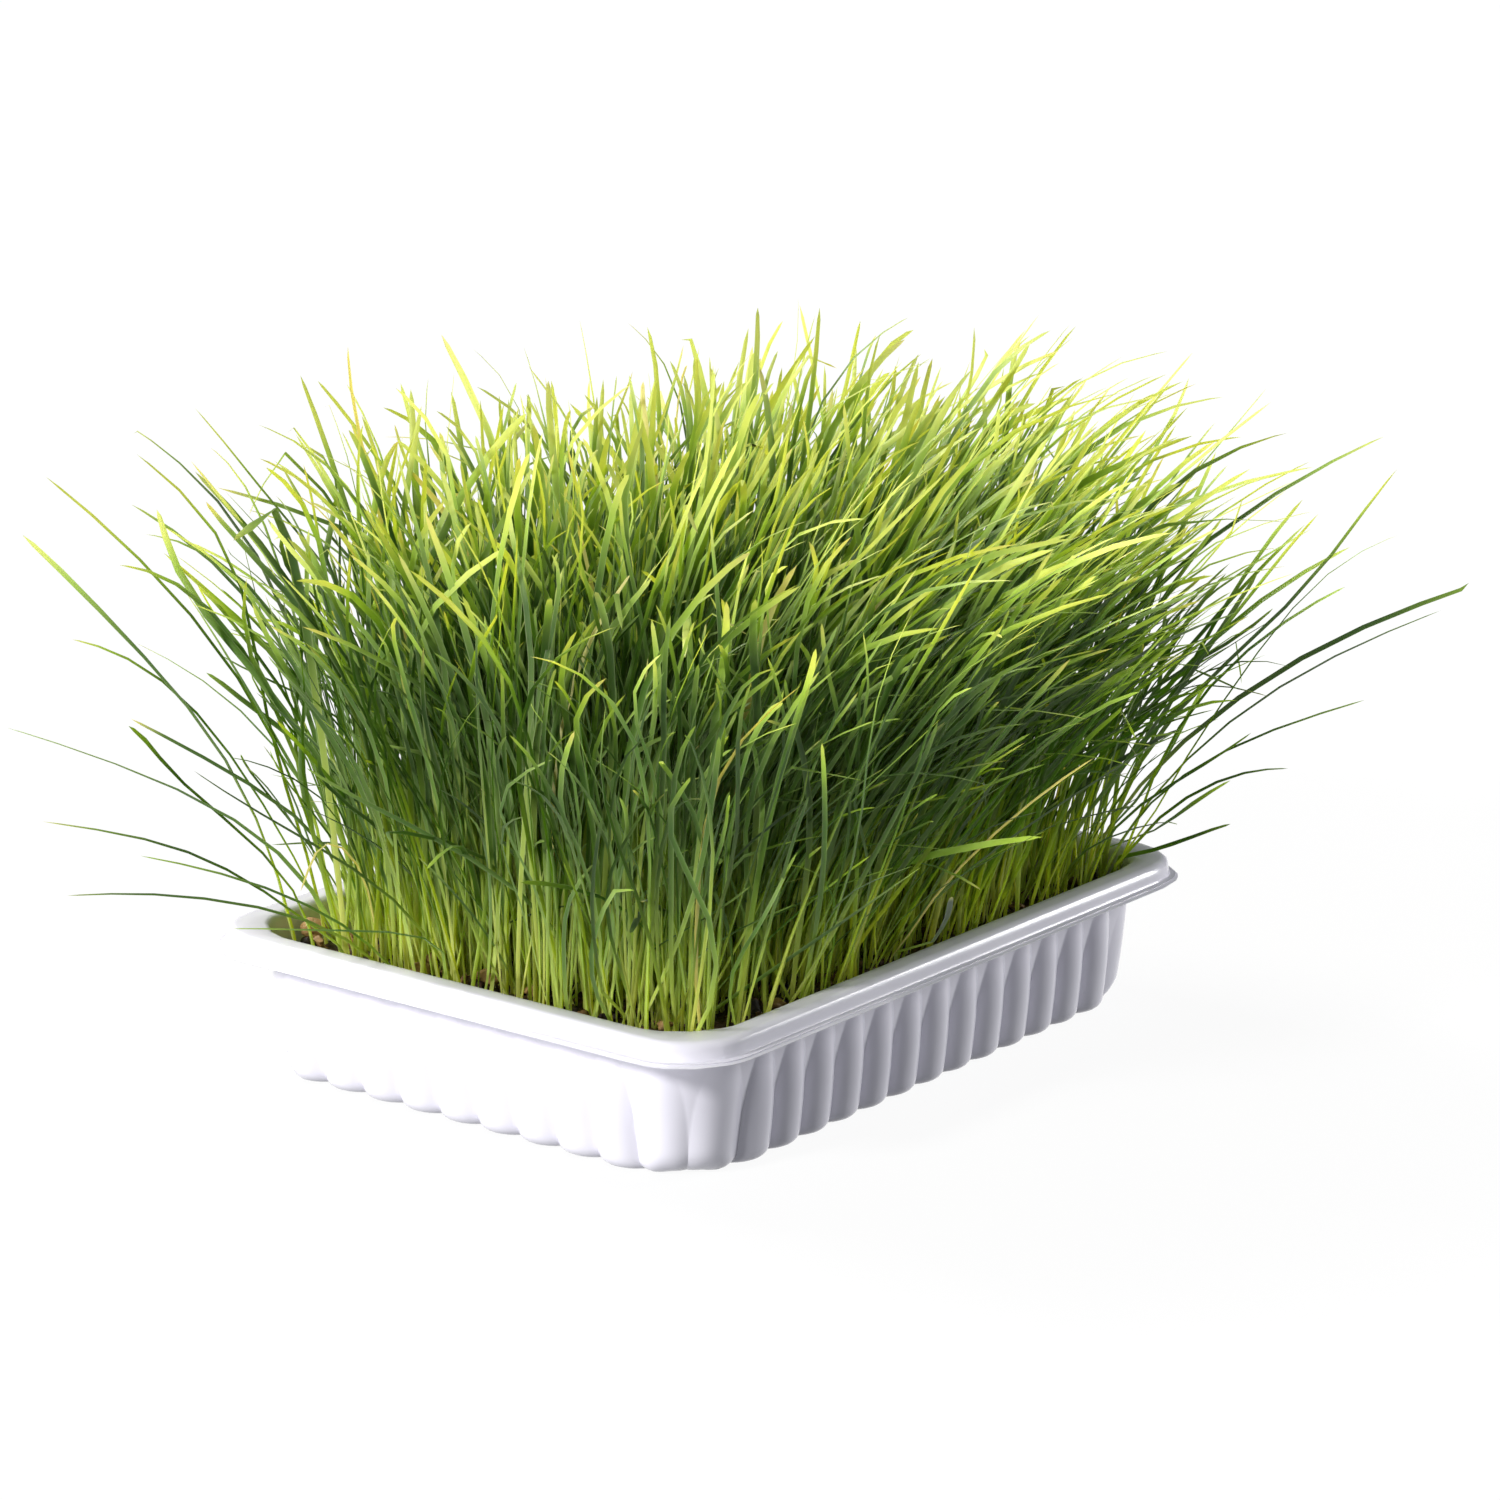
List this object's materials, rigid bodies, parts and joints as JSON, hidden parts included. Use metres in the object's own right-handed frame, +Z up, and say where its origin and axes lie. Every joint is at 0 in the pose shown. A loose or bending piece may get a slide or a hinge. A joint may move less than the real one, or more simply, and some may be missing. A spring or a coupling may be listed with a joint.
{
  "type": "wheatgrass tray",
  "caption": "Ribbed white plastic tray of moist substrate, packed with young wheatgrass that fans out over its rim; stands on its flat base.",
  "frame": {"origin": "middle of the tray's flat base, on the surface that it stands on", "axes": "+X along the tray's long side, +Y along its short side, +Z up, the way the grass grows"},
  "size_m": [0.277, 0.241, 0.162],
  "materials": {
    "tray_plastic": "satin",
    "substrate": "matte",
    "grass_blade": "satin"
  },
  "bodies": {
    "root": {"tray": "tray_plastic", "soil": "substrate", "grass_tuft_01": "grass_blade", "grass_tuft_02": "grass_blade", "grass_tuft_03": "grass_blade", "grass_tuft_04": "grass_blade", "grass_tuft_05": "grass_blade", "grass_tuft_06": "grass_blade", "grass_tuft_07": "grass_blade", "grass_tuft_08": "grass_blade", "grass_tuft_09": "grass_blade", "grass_tuft_10": "grass_blade", "grass_tuft_11": "grass_blade", "grass_tuft_12": "grass_blade", "grass_tuft_13": "grass_blade", "grass_tuft_14": "grass_blade", "grass_tuft_15": "grass_blade", "grass_tuft_16": "grass_blade", "grass_tuft_17": "grass_blade", "grass_tuft_18": "grass_blade", "grass_tuft_19": "grass_blade", "grass_tuft_20": "grass_blade", "grass_tuft_21": "grass_blade", "grass_tuft_22": "grass_blade", "grass_tuft_23": "grass_blade", "grass_tuft_24": "grass_blade", "grass_tuft_25": "grass_blade", "grass_tuft_26": "grass_blade", "grass_tuft_27": "grass_blade", "grass_tuft_28": "grass_blade", "grass_tuft_29": "grass_blade", "grass_tuft_30": "grass_blade", "grass_tuft_31": "grass_blade", "grass_tuft_32": "grass_blade", "grass_tuft_33": "grass_blade", "grass_tuft_34": "grass_blade", "grass_tuft_35": "grass_blade", "grass_tuft_36": "grass_blade", "grass_tuft_37": "grass_blade", "grass_tuft_38": "grass_blade", "grass_tuft_39": "grass_blade", "grass_tuft_40": "grass_blade", "grass_tuft_41": "grass_blade", "grass_tuft_42": "grass_blade", "grass_tuft_43": "grass_blade", "grass_tuft_44": "grass_blade", "grass_tuft_45": "grass_blade", "grass_tuft_46": "grass_blade", "grass_tuft_47": "grass_blade", "grass_tuft_48": "grass_blade"}
  },
  "joints": []
}
